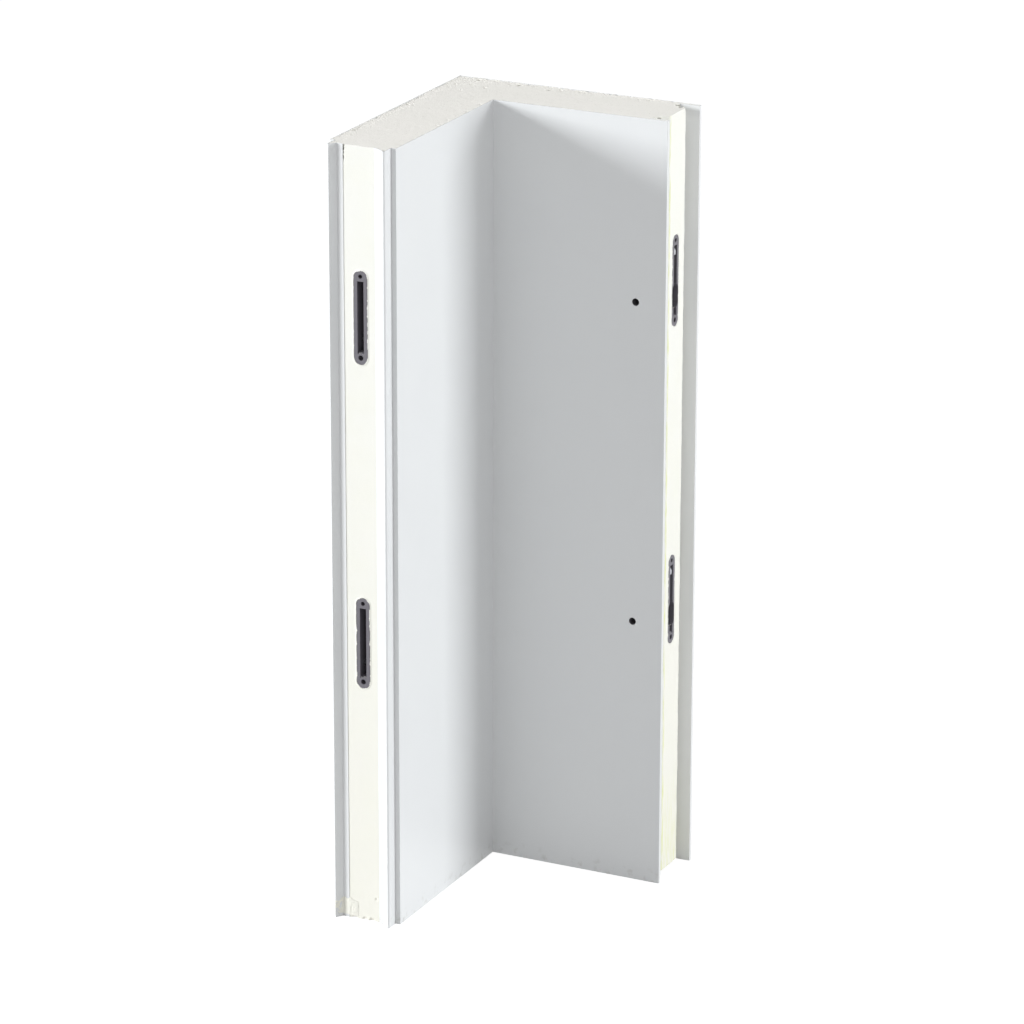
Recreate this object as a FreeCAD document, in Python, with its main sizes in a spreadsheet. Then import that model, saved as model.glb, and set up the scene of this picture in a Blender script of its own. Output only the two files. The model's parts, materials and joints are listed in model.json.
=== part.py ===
"""Corner sandwich panel with cam locks: two painted steel skins bonded to a foam core.

Frame: the panel stands on z = 0 with the middle of its bounding box on the z axis.
The tongued leg runs along -Y and the grooved leg along +X, and both turn their
room-side face to the inner corner.  The outlines below are written from that inner
corner (x = 0, y = 0), and every body is then moved by the same origin shift.
"""
import FreeCAD, Part
import os
import re
from math import pi
import Sketcher
from FreeCAD import Placement, Rotation, Vector

SIZES = (
    # name, value in mm, what it is
    ("panel_height", 1100, "height of the cut panel"),
    ("panel_thickness", 100, "room-side face to outer face"),
    ("sheet", 0.6, "thickness of the steel sheet"),
    ("tongued_leg", 287, "inner corner to the room-side shoulder of the tongued leg"),
    ("grooved_leg", 259, "inner corner to the room-side lip of the grooved leg"),
    ("outer_offset", 5, "how far the outer joint line lies from the room-side one"),
    ("step_depth", 7, "how far each face steps in at its shoulder"),
    ("tongue_length", 20, "room-side tongue beyond its shoulder"),
    ("outer_tongue_length", 22, "outer tongue beyond its shoulder"),
    ("tip_chamfer", 1.2, "flat between the two bends of a tongue's tip"),
    ("flange_neck", 13, "room-side flange: how far its bend stays beyond the shoulder"),
    ("flange_neck_depth", 17, "room-side flange: depth of that bend from the room face"),
    ("flange_depth", 28, "room-side flange: depth of its edge from the room face"),
    ("outer_flange_neck", 12, "outer flange: how far its bend stays beyond the shoulder"),
    ("outer_flange_neck_depth", 16, "outer flange: depth of that bend from the outer face"),
    ("outer_flange_depth", 25.5, "outer flange: depth of its edge from the outer face"),
    ("foam_face", 8, "foam end face of the tongued leg beyond the room-side shoulder"),
    ("joint_gap", 0.5, "gap between the foam end faces of two joined panels"),
    ("groove_depth", 24, "room-side lip edge to the bottom of the grooves"),
    ("nose_depth", 28, "depth of the foam nose from the room face at its front"),
    ("nose_back_depth", 21, "depth of the foam nose from the outer face at its front"),
    ("groove_floor", 10, "depth to which a groove's foam side comes at its bottom"),
    ("lip_width", 6, "width of a lip's turned edge"),
    ("return_anchor", 4, "how far a lip's return runs into the foam beyond the groove"),
    ("nose_gap", 7, "foam missing at the foot of the nose"),
    ("lower_lock", 406, "floor to the middle of the lower locks"),
    ("lock_pitch", 459, "middle of the lower locks to the middle of the upper ones"),
    ("case_width", 20.5, "width of a lock case"),
    ("case_height", 130, "height of a lock case"),
    ("slot_width", 9.5, "width of the slot in a lock case"),
    ("slot_top", 50, "lock middle up to the top of the slot"),
    ("slot_bottom", 48.5, "lock middle down to the bottom of the slot"),
    ("case_back", 6, "plastic behind the cavity of a lock case"),
    ("case_chamfer", 0.6, "chamfer round the face of a lock case"),
    ("slot_slope", 1.8, "height of the slope below a slot"),
    ("slot_slope_run", 3, "how far the slope below a slot runs in"),
    ("hub_window", 36, "height of the wide part of a hook case's slot, before the hub"),
    ("hub_window_wall", 1.2, "case wall left on each side of that part"),
    ("hub_window_depth", 10, "depth of that part"),
    ("upper_pinhole", 6, "diameter of the moulding hole above the slot"),
    ("lower_pinhole", 7.5, "diameter of the moulding hole below the slot"),
    ("upper_pinhole_height", 57, "lock middle up to the upper moulding hole"),
    ("lower_pinhole_drop", 55.5, "lock middle down to the lower moulding hole"),
    ("pinhole_depth", 8, "depth of the moulding holes"),
    ("key_hole_edge", 44.5, "room-side lip edge back to the hook's pivot"),
    ("pivot_drop", 22, "lock middle down to the hook's pivot"),
    ("hub_radius", 14, "radius of the hook's hub plate"),
    ("hub_clearance", 1.5, "room round the hub plate"),
    ("journal_radius", 10, "radius of the hub where it turns in the case"),
    ("running_clearance", 0.08, "radial clearance of the hub in the case"),
    ("hub_recess", 0.5, "how far each end of the hub lies below the case's side"),
    ("hex_key", 8, "width across flats of the key socket"),
    ("key_bore", 10.5, "bore of the key tube and of the hole in the skin"),
    ("tube_wall", 1.5, "wall of the key tube"),
    ("hook_plate", 5, "thickness of the hook"),
    ("hook_back", 8, "back of the hook's arm from the pivot"),
    ("hook_shoulder", 24, "radius of the hook's outer bend"),
    ("hook_nose", 8, "radius of the beak's front"),
    ("hook_throat", 4, "radius of the hook's inner bend"),
    ("hook_tip", 2, "radius of the beak's point"),
    ("tip_inset", 1, "front of the hook at rest behind the case's face"),
    ("hook_headroom", 2, "hook at rest below the top of the slot"),
    ("cross_pin", 8, "diameter of the cross pin in a receiver case"),
    ("cross_pin_depth", 16, "receiver face back to the cross pin"),
    ("cross_pin_drop", 11, "hook pivot down to the cross pin when the panels are joined"),
    ("cross_pin_seat", 4, "length of the cross pin in each wall of its case"),
    ("grip_clearance", 0.5, "closed hook to cross pin"),
    ("receiver_depth", 43, "depth of the cavity of a receiver case"),
    ("receiver_lip", 14, "receiver face back to the room where the hook's tip drops"),
    ("receiver_drop", 60, "lock middle down to the bottom of that room"),
)

doc = FreeCAD.newDocument("corner_panel")
sizes = doc.addObject("Spreadsheet::Sheet", "Sizes")
for row, (name, number, meaning) in enumerate(SIZES, 1):
    sizes.set(f"A{row}", name)
    sizes.set(f"B{row}", str(number))
    sizes.set(f"C{row}", meaning)
    sizes.setAlias(f"B{row}", name)
doc.recompute()

NAMES = {name for name, _, _ in SIZES}
NEAR = 1e-4                                                   # mm within which points are the same
PIECES = []                                                   # the sub-parts to write


def bound(formula):
    """Turn a formula of size names into an expression that reads the spreadsheet."""
    return re.sub(r"[a-z_]+", lambda word: f"Sizes.{word[0]}" if word[0] in NAMES else word[0], formula)


def value(formula):
    return float(sizes.evalExpression(bound(formula)))


def bind(thing, **properties):
    """Bind properties such as Length, or Placement__Base__x, to formulas of sizes."""
    for name, formula in properties.items():
        thing.setExpression(name.replace("__", "."), bound(formula))


# ---------------------------------------------------------------- places used more than once
ORIGIN_X = "(panel_thickness - grooved_leg - outer_offset) / 2"
ORIGIN_Y = "(tongued_leg + tongue_length - panel_thickness) / 2"
CORE_DEPTH = "(panel_thickness - sheet)"                      # depth of the foam's outer side
OUTER_LIP = "(grooved_leg + outer_offset)"
OUTER_SHOULDER = "(tongued_leg - outer_offset)"
TONGUED_END = "(tongued_leg + foam_face)"                     # foam end face, tongued leg
GROOVED_END = "(grooved_leg - foam_face - joint_gap)"         # foam nose front, grooved leg
GROOVE_BOTTOM = "(grooved_leg - groove_depth)"
RETURN_END = "(grooved_leg - groove_depth - return_anchor)"   # edge of a lip's return in the foam
MIDDLE = "(panel_thickness / 2)"
PIVOT_DEPTH = "(key_hole_edge - foam_face - joint_gap)"       # case face back to the pivot
HOOK_CAVITY = f"({PIVOT_DEPTH} + hub_radius + hub_clearance)"
TUBE_LENGTH = f"({MIDDLE} - case_width / 2 - sheet)"
LOCK_HEIGHTS = {"lower": "lower_lock", "upper": "(lower_lock + lock_pitch)"}


# ---------------------------------------------------------------- sketch helpers
def new_sketch(body, name, plane=None, offset=None):
    """A sketch in a body, on one of its origin planes, or a free one on the XY plane."""
    if body is None:
        return doc.addObject("Sketcher::SketchObject", name)
    sketch = body.newObject("Sketcher::SketchObject", name)
    support = next(part for part in body.Origin.OriginFeatures if part.Role == plane)
    sketch.AttachmentSupport = (support, [""])
    sketch.MapMode = "FlatFace"
    if offset:
        bind(sketch, AttachmentOffset__Base__z=offset)
    return sketch


def fix_point(sketch, geometry, point, formulas):
    """Hold one point of the sketch at a place given by two formulas."""
    for kind, formula in zip(("DistanceX", "DistanceY"), formulas):
        number = sketch.addConstraint(Sketcher.Constraint(kind, -1, 1, geometry, point, value(formula)))
        sketch.setExpression(f"Constraints[{number}]", bound(formula))


def spot(formulas):
    return Vector(value(formulas[0]), value(formulas[1]), 0)


def add_path(sketch, corners, closed):
    """Straight lines through corners whose coordinates are formulas."""
    first = sketch.GeometryCount
    ends = corners[1:] + corners[:1] if closed else corners[1:]
    for start, end in zip(corners, ends):
        sketch.addGeometry(Part.LineSegment(spot(start), spot(end)))
    lines = range(first, sketch.GeometryCount)
    for line, following in zip(lines, lines[1:]):
        sketch.addConstraint(Sketcher.Constraint("Coincident", line, 2, following, 1))
    if closed:
        sketch.addConstraint(Sketcher.Constraint("Coincident", lines[-1], 2, first, 1))
    for line, corner in zip(lines, corners):
        fix_point(sketch, line, 1, corner)
    if not closed:
        fix_point(sketch, lines[-1], 2, corners[-1])


def add_circle(sketch, centre, diameter):
    circle = sketch.addGeometry(Part.Circle(spot(centre), Vector(0, 0, 1), value(diameter) / 2))
    fix_point(sketch, circle, 3, centre)
    number = sketch.addConstraint(Sketcher.Constraint("Diameter", circle, value(diameter)))
    sketch.setExpression(f"Constraints[{number}]", bound(diameter))


def add_stadium(sketch, across, height, side=0, tall="case_height", wide="case_width"):
    """An upright slot shape, or with side -1 or 1 the half of it left or right of its middle."""
    reach, radius = f"({tall} - ({wide})) / 2", value(f"({wide}) / 2")
    left, right = side <= 0, side >= 0
    spans = {"+": (0 if right else pi / 2, pi if left else pi / 2),
             "-": (pi if left else 1.5 * pi, 2 * pi if right else 1.5 * pi)}
    arcs = []
    for sign, (start, end) in spans.items():
        centre = (across, f"{height} {sign} {reach}")
        arc = sketch.addGeometry(
            Part.ArcOfCircle(Part.Circle(spot(centre), Vector(0, 0, 1), radius), start, end))
        fix_point(sketch, arc, 3, centre)
        number = sketch.addConstraint(Sketcher.Constraint("Radius", arc, radius))
        sketch.setExpression(f"Constraints[{number}]", bound(f"({wide}) / 2"))
        arcs.append(arc)
    for start, end, rounded in ((arcs[0], arcs[1], left), (arcs[1], arcs[0], right)):
        ends = sketch.getPoint(start, 2), sketch.getPoint(end, 1)
        line = sketch.addGeometry(Part.LineSegment(*ends))
        kind = "Tangent" if rounded else "Coincident"
        sketch.addConstraint(Sketcher.Constraint(kind, start, 2, line, 1))
        sketch.addConstraint(Sketcher.Constraint(kind, line, 2, end, 1))
        if not rounded:
            for point in (1, 2):
                number = sketch.addConstraint(
                    Sketcher.Constraint("DistanceX", -1, 1, line, point, value(across)))
                sketch.setExpression(f"Constraints[{number}]", bound(across))


def feature(body, kind, name, sketch, length, reverse=False, symmetric=False):
    """A pad or pocket of a sketch, whose length is a formula of sizes."""
    step = body.newObject(f"PartDesign::{kind}", name)
    step.Profile = sketch
    step.Reversed = reverse
    step.Midplane = symmetric
    bind(step, Length=length)
    sketch.Visibility = False
    return step


def dress(body, kind, name, size, wanted):
    """A fillet or chamfer on those edges of the body's last feature that pass a test."""
    doc.recompute()
    base = body.Tip
    step = body.newObject(f"PartDesign::{kind}", name)
    step.Base = base, [f"Edge{i}" for i, edge in enumerate(base.Shape.Edges, 1) if wanted(edge)]
    bind(step, **{"Radius" if kind == "Fillet" else "Size": size})


def new_body(label):
    body = doc.addObject("PartDesign::Body", label)
    body.Label = label
    return body


def place(thing, x="0", y="0", z="0", turn=0):
    """Move a sub-part from the inner corner's frame to the panel's own frame."""
    thing.Placement = Placement(Vector(), Rotation(Vector(0, 0, 1), turn))
    bind(thing, Placement__Base__x=f"{x} + {ORIGIN_X}", Placement__Base__y=f"{y} + {ORIGIN_Y}",
         Placement__Base__z=z)
    PIECES.append(thing)


# ---------------------------------------------------------------- the two skins
def folded_sheet(label, corners):
    """A sheet folded along the corners of its foam side, the steel lying on the path's right."""
    path = new_sketch(None, f"{label}_path")
    add_path(path, corners, closed=False)
    band = doc.addObject("Part::Offset2D", f"{label}_band")
    band.Source, band.Mode, band.Join, band.Fill = path, "Skin", "Arc", True
    bind(band, Value="sheet")
    skin = doc.addObject("Part::Extrusion", f"{label}_fold")
    skin.Base, skin.DirMode, skin.Dir, skin.Solid = band, "Custom", Vector(0, 0, 1), True
    bind(skin, LengthFwd="panel_height")
    return skin


def tongue(side_depth, shoulder, length, neck, neck_depth, edge, edge_depth):
    """Corners of a tongue from its shoulder to the edge of its flange, as (depth, reach)."""
    tip = f"{shoulder} + {length} - sheet"
    strip = f"({side_depth} + step_depth)"
    return (
        (side_depth, f"{shoulder} - sheet"),
        (strip, f"{shoulder} - sheet"),
        (strip, f"{tip} - tip_chamfer"),
        (f"{strip} + tip_chamfer", tip),
        (neck_depth, f"{shoulder} + {neck} - sheet"),
        (edge_depth, edge),
    )


ROOM_TONGUE = tongue("sheet", "tongued_leg", "tongue_length", "flange_neck", "flange_neck_depth",
                     f"{TONGUED_END} - sheet", "flange_depth")
OUTER_TONGUE = tongue("sheet", OUTER_SHOULDER, "outer_tongue_length", "outer_flange_neck",
                      "outer_flange_neck_depth", f"{TONGUED_END} - sheet", "outer_flange_depth")


def room_side(depth, reach):
    """A point of the tongued leg measured from its room face."""
    return f"-({depth})", f"-({reach})"


def outer_side(depth, reach):
    """A point of the tongued leg measured from its outer face."""
    return f"{depth} - panel_thickness", f"-({reach})"


def lip(edge, face, inward):
    """Corners of a lip's turned edge and return: face is the sheet's foam side, inward the way in."""
    fold = f"{face} {inward} (lip_width - 2 * sheet)"
    return (f"{edge} - sheet", face), (f"{edge} - sheet", fold), (RETURN_END, fold)


def filled(corners, face, inward):
    """The lip's corners on the foam, which fills the lip and closes round the end of its return."""
    return [*corners, (RETURN_END, f"{face} {inward} (lip_width - sheet)"),
            (GROOVE_BOTTOM, f"{face} {inward} (lip_width - sheet)")]


ROOM_LIP = lip("grooved_leg", "sheet", "+")
OUTER_LIP_CORNERS = lip(OUTER_LIP, CORE_DEPTH, "-")
inner_fold = folded_sheet("inner_skin", [room_side(*corner) for corner in reversed(ROOM_TONGUE)]
                          + [("-sheet", "sheet"), *ROOM_LIP])
outer_skin = folded_sheet("outer_skin", [*reversed(OUTER_LIP_CORNERS), (f"-{CORE_DEPTH}", CORE_DEPTH)]
                          + [outer_side(*corner) for corner in OUTER_TONGUE])
outer_skin.Label = "outer_skin"
place(outer_skin)

key_hole_punches = doc.addObject("Part::MultiFuse", "key_hole_punches")
punches = []
for level, height in LOCK_HEIGHTS.items():
    punch = doc.addObject("Part::Cylinder", f"key_hole_punch_{level}")
    punch.Placement = Placement(Vector(), Rotation(Vector(1, 0, 0), -90))
    bind(punch, Radius="key_bore / 2", Height="sheet", Placement__Base__x="grooved_leg - key_hole_edge",
         Placement__Base__z=f"{height} - pivot_drop")
    punches.append(punch)
key_hole_punches.Shapes = punches
inner_skin = doc.addObject("Part::Cut", "inner_skin")
inner_skin.Label = "inner_skin"
inner_skin.Base, inner_skin.Tool = inner_fold, key_hole_punches
place(inner_skin)


# ---------------------------------------------------------------- the foam core
foam = new_body("foam_core")
outline = new_sketch(foam, "foam_outline", "XY_Plane")
add_path(outline, [room_side(*corner) for corner in reversed(ROOM_TONGUE)] + [
    ("-sheet", "sheet"),
    *filled(ROOM_LIP, "sheet", "+"),
    (GROOVE_BOTTOM, "groove_floor"),
    (GROOVED_END, "nose_depth"),
    (GROOVED_END, "panel_thickness - nose_back_depth"),
    (GROOVE_BOTTOM, "panel_thickness - groove_floor"),
    *reversed(filled(OUTER_LIP_CORNERS, CORE_DEPTH, "-")),
    (f"-{CORE_DEPTH}", CORE_DEPTH),
] + [outer_side(*corner) for corner in OUTER_TONGUE], closed=True)
feature(foam, "Pad", "foam_block", outline, "panel_height")

foot = new_sketch(foam, "nose_foot", "XY_Plane")
add_path(foot, [(GROOVE_BOTTOM, "sheet"), (OUTER_LIP, "sheet"), (OUTER_LIP, CORE_DEPTH),
                (GROOVE_BOTTOM, CORE_DEPTH)], closed=True)
hook_seats = new_sketch(foam, "hook_case_seats", "YZ_Plane", GROOVED_END)
receiver_seats = new_sketch(foam, "receiver_case_seats", "XZ_Plane", TONGUED_END)
tube_seats = new_sketch(foam, "key_tube_seats", "XZ_Plane", "-sheet")
for height in LOCK_HEIGHTS.values():
    add_stadium(hook_seats, MIDDLE, height)
    add_stadium(receiver_seats, f"-{MIDDLE}", height)
    add_circle(tube_seats, ("grooved_leg - key_hole_edge", f"{height} - pivot_drop"),
               "key_bore + 2 * tube_wall")
doc.recompute()
feature(foam, "Pocket", "nose_short_of_floor", foot, "nose_gap", reverse=True)
feature(foam, "Pocket", "hook_case_pockets", hook_seats, f"{HOOK_CAVITY} + case_back")
feature(foam, "Pocket", "receiver_case_pockets", receiver_seats, "receiver_depth + case_back")
feature(foam, "Pocket", "key_tube_bores", tube_seats, TUBE_LENGTH)
place(foam)


# ---------------------------------------------------------------- lock cases
MOUTH = (("-slot_slope_run", "-slot_bottom"), ("0", "-slot_bottom - slot_slope"), ("0", "slot_top"))
HOOK_SPACE = (*MOUTH, (f"-{HOOK_CAVITY}", "slot_top"), (f"-{HOOK_CAVITY}", "-slot_bottom"))
RECEIVER_SPACE = (*MOUTH, ("-receiver_depth", "slot_top"), ("-receiver_depth", "-receiver_drop"),
                  ("-receiver_lip", "-receiver_drop"), ("-receiver_lip", "-slot_bottom"))


def on_face_outline(edge):
    """Whether an edge runs round a lock case's face, leaving out the parting line of its halves."""
    middle = edge.valueAt((edge.FirstParameter + edge.LastParameter) / 2)
    return abs(edge.BoundBox.XMin) < NEAR and abs(edge.BoundBox.XMax) < NEAR and abs(middle.y) > NEAR


def case_half(label, side, space, depth):
    """Half of a moulded lock case, its face in the YZ plane and its slot open along +X."""
    half = new_body(label)
    face = new_sketch(half, f"{label}_outline", "YZ_Plane")
    add_stadium(face, "0", "0", side)
    feature(half, "Pad", f"{label}_block", face, depth, reverse=True)
    dress(half, "Chamfer", f"{label}_face_chamfer", "case_chamfer", on_face_outline)
    cavity = new_sketch(half, f"{label}_cavity", "XZ_Plane")
    add_path(cavity, list(space), closed=True)
    feature(half, "Pocket", f"{label}_space", cavity, "slot_width", symmetric=True)
    for name, height, diameter in (("upper", "upper_pinhole_height", "upper_pinhole"),
                                   ("lower", "-lower_pinhole_drop", "lower_pinhole")):
        hole = new_sketch(half, f"{label}_{name}_hole", "YZ_Plane")
        add_circle(hole, ("0", height), diameter)
        feature(half, "Pocket", f"{label}_{name}_pinhole", hole, "pinhole_depth")
    return half


def side_bore(half, centre, diameter, length):
    """A round pocket along the case's thickness, symmetric about its parting plane."""
    circle = new_sketch(half, f"{half.Label}_bore", "XZ_Plane")
    add_circle(circle, centre, diameter)
    feature(half, "Pocket", f"{half.Label}_bore_cut", circle, length, symmetric=True)


for level, height in LOCK_HEIGHTS.items():
    for name, side in (("inner", -1), ("outer", 1)):
        half = case_half(f"hook_case_{level}_{name}", side, HOOK_SPACE, f"{HOOK_CAVITY} + case_back")
        side_bore(half, (f"-{PIVOT_DEPTH}", "-pivot_drop"), "2 * (journal_radius + running_clearance)",
                  "case_width")
        window = new_sketch(half, f"{half.Label}_window", "YZ_Plane")
        add_stadium(window, "0", "-pivot_drop", tall="hub_window", wide="case_width - 2 * hub_window_wall")
        feature(half, "Pocket", f"{half.Label}_hub_window", window, "hub_window_depth")
        place(half, GROOVED_END, MIDDLE, height)
    for name, side in (("inner", 1), ("outer", -1)):
        half = case_half(f"receiver_case_{level}_{name}", side, RECEIVER_SPACE,
                         "receiver_depth + case_back")
        side_bore(half, ("-cross_pin_depth", "-pivot_drop - cross_pin_drop"), "cross_pin",
                  "slot_width + 2 * cross_pin_seat")
        place(half, f"-{MIDDLE}", f"-{TONGUED_END}", height, turn=-90)

    pin = doc.addObject("Part::Cylinder", f"cross_pin_{level}")
    pin.Label = f"cross_pin_{level}"
    pin.Placement = Placement(Vector(), Rotation(Vector(0, 1, 0), 90))
    bind(pin, Radius="cross_pin / 2", Height="slot_width + 2 * cross_pin_seat",
         Placement__Base__x=f"-{MIDDLE} - slot_width / 2 - cross_pin_seat + {ORIGIN_X}",
         Placement__Base__y=f"cross_pin_depth - {TONGUED_END} + {ORIGIN_Y}",
         Placement__Base__z=f"{height} - pivot_drop - cross_pin_drop")
    PIECES.append(pin)

    tube_body = doc.addObject("Part::Cylinder", f"key_tube_{level}_outside")
    bind(tube_body, Radius="key_bore / 2 + tube_wall", Height=TUBE_LENGTH)
    tube_hole = doc.addObject("Part::Cylinder", f"key_tube_{level}_inside")
    bind(tube_hole, Radius="key_bore / 2", Height=TUBE_LENGTH)
    tube = doc.addObject("Part::Cut", f"key_tube_{level}")
    tube.Label = f"key_tube_{level}"
    tube.Base, tube.Tool = tube_body, tube_hole
    tube.Placement = Placement(Vector(), Rotation(Vector(1, 0, 0), -90))
    bind(tube, Placement__Base__x=f"grooved_leg - key_hole_edge + {ORIGIN_X}",
         Placement__Base__y=f"sheet + {ORIGIN_Y}", Placement__Base__z=f"{height} - pivot_drop")
    PIECES.append(tube)


# ---------------------------------------------------------------- cam hooks
THROAT = f"({PIVOT_DEPTH} + joint_gap + cross_pin_depth + cross_pin / 2 + grip_clearance)"
ARM_FRONT = "(cross_pin_drop - cross_pin / 2 - grip_clearance)"
HOOK_TIP = f"({PIVOT_DEPTH} - tip_inset)"
HOOK_TOP = "(slot_top + pivot_drop - hook_headroom)"


def cam_hook(label):
    """A hook drawn at rest about its pivot: the arm stands up and its beak points to the face."""
    hook = new_body(label)
    arm = new_sketch(hook, f"{label}_arm", "XZ_Plane")
    add_path(arm, [("-hook_back", "0"), (ARM_FRONT, "0"), (ARM_FRONT, THROAT), (HOOK_TIP, THROAT),
                   (HOOK_TIP, HOOK_TOP), ("-hook_back", HOOK_TOP)], closed=True)
    feature(hook, "Pad", f"{label}_plate", arm, "hook_plate", symmetric=True)
    for bend, place_of_bend in (("shoulder", ("-hook_back", HOOK_TOP)), ("nose", (HOOK_TIP, HOOK_TOP)),
                                ("throat", (ARM_FRONT, THROAT)), ("tip", (HOOK_TIP, THROAT))):
        corner = spot(place_of_bend)
        dress(hook, "Fillet", f"{label}_{bend}", f"hook_{bend}",
              lambda edge: all(abs(v.X - corner.x) < NEAR and abs(v.Z - corner.y) < NEAR
                               for v in edge.Vertexes))
    hub = new_sketch(hook, f"{label}_hub", "XZ_Plane")
    add_circle(hub, ("0", "0"), "2 * hub_radius")
    feature(hook, "Pad", f"{label}_hub_plate", hub, "hook_plate", symmetric=True)
    journal = new_sketch(hook, f"{label}_journal", "XZ_Plane")
    add_circle(journal, ("0", "0"), "2 * journal_radius")
    feature(hook, "Pad", f"{label}_journals", journal, "case_width - 2 * hub_recess", symmetric=True)
    socket = new_sketch(hook, f"{label}_socket", "XZ_Plane")
    flat, corner = "hex_key / 2", "hex_key / sqrt(3)"
    add_path(socket, [("0", corner), (f"-{flat}", f"{corner} / 2"), (f"-{flat}", f"-{corner} / 2"),
                      ("0", f"-{corner}"), (flat, f"-{corner} / 2"), (flat, f"{corner} / 2")], closed=True)
    feature(hook, "Pocket", f"{label}_hex", socket, "case_width", symmetric=True)
    return hook


for level, height in LOCK_HEIGHTS.items():
    place(cam_hook(f"cam_hook_{level}"), "grooved_leg - key_hole_edge", MIDDLE, f"{height} - pivot_drop")


# ---------------------------------------------------------------- check and write
doc.recompute()
for thing in doc.Objects:
    if {"Invalid", "Error"} & set(thing.State):
        raise RuntimeError(f"{thing.Name} failed: {thing.State}")
for piece in PIECES:
    if piece.Shape.isNull() or not piece.Shape.isValid():
        raise RuntimeError(f"{piece.Label} has no valid shape")

os.makedirs("parts", exist_ok=True)
for piece in PIECES:
    piece.Shape.exportStep(f"parts/{piece.Label}.step")
    box = piece.Shape.BoundBox
    print(f"{piece.Label}: {len(piece.Shape.Solids)} solid, {piece.Shape.Volume / 1000:.1f} cm3, "
          f"x {box.XMin:.1f}..{box.XMax:.1f}, y {box.YMin:.1f}..{box.YMax:.1f}, "
          f"z {box.ZMin:.1f}..{box.ZMax:.1f}")
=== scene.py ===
"""Looks of a corner sandwich panel: coil-coated steel skins on a rigid foam core, with cam locks.

Everything is in metres in the panel's own frame: z is up, the tongued leg runs along -y and
the grooved leg along +x, and the room's corner opens towards +x and -y.
"""
import json
from math import ceil, cos, pi, radians, sin

import bmesh
import bpy
import numpy as np
from mathutils import Matrix, Vector, noise
from mathutils.geometry import delaunay_2d_cdt


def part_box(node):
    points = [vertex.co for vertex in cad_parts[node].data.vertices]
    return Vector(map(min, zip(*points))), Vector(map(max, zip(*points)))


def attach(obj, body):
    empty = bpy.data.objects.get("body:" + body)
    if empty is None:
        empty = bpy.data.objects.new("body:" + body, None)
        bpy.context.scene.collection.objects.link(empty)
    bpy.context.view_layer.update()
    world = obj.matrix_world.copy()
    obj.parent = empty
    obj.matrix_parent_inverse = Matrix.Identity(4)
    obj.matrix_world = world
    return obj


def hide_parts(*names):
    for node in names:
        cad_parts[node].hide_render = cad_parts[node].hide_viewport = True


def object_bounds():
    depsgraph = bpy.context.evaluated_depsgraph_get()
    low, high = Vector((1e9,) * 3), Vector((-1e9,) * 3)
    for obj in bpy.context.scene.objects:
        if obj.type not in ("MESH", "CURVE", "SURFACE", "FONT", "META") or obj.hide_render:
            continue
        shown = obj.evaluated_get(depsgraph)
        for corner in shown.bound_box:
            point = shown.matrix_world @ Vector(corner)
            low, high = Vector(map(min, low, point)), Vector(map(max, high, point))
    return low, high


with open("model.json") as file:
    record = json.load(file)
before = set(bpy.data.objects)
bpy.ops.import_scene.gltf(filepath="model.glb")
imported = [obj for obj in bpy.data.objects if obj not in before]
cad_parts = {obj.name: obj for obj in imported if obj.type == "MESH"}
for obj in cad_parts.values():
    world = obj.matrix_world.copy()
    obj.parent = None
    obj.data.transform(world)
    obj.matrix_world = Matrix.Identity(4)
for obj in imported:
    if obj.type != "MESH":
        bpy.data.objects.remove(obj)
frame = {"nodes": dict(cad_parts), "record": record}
cad_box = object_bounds()
nodes = frame["nodes"]
scene = bpy.context.scene
MM = 0.001
TOP = cad_box[1][2]
NOSE_DEPTH = 15.5 * MM              # from the hook cases' faces to just past the bottoms of the grooves
ROOM_SIDE_WIDTH = 259 * MM          # of the grooved leg, from the room's corner to the end of its lip
LIP_WIDTH = 6 * MM
PAINTED_GLOW_LINE = 133.6 * MM             # y of the line of painted glow, light bounced in the groove, along the nose's room-side edge
LOCK_LEVELS = ("lower", "upper")

tongued_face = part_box("receiver_case_upper_inner")[0][1]     # the foam's end on the tongued leg
groove_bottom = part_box("hook_case_upper_inner")[1][0] - NOSE_DEPTH
outer_corner = Vector((cad_box[0][0], cad_box[1][1]))
room_corner = (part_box("inner_skin")[1][0] - ROOM_SIDE_WIDTH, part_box("inner_skin")[1][1] - LIP_WIDTH)


# ---------------------------------------------------------------- materials
COLOURS = {"data_type": "RGBA"}     # makes a Mix node mix colours: its inputs 6 and 7, its output 2


def linear(hex_colour):
    """An sRGB hex colour as linear RGBA."""
    channels = (int(hex_colour[i:i + 2], 16) / 255 for i in (1, 3, 5))
    return (*(c / 12.92 if c <= 0.04045 else ((c + 0.055) / 1.055) ** 2.4 for c in channels), 1.0)


def add_node(tree, kind, properties=None, inputs=(), output=0):
    """Add a node and give one of its outputs. Inputs are a dict, or a list in the sockets' order: a value
    is linked where it is another node's output, and set where it is a number, a vector or a hex colour."""
    node = tree.nodes.new(kind)
    for name, value in (properties or {}).items():
        setattr(node, name, value)
    for name, value in inputs.items() if isinstance(inputs, dict) else enumerate(inputs):
        if isinstance(value, bpy.types.NodeSocket):
            tree.links.new(value, node.inputs[name])
        else:
            node.inputs[name].default_value = linear(value) if isinstance(value, str) else value
    return node.outputs[output] if len(node.outputs) else node


def new_material(name, **surface):
    """A Principled material; keywords are its inputs, with underscores for spaces."""
    material = bpy.data.materials.new(name)
    material.use_nodes = True
    tree = material.node_tree
    shader = tree.nodes["Principled BSDF"]
    for socket, value in surface.items():
        shader.inputs[socket.replace("_", " ")].default_value = value
    return material, tree, shader


def place_on_piece(tree):
    """The point on the piece and its x, y and z, in metres."""
    point = add_node(tree, "ShaderNodeTexCoord", output="Object")
    return point, *(add_node(tree, "ShaderNodeSeparateXYZ", inputs=[point], output=axis) for axis in "XYZ")


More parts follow.
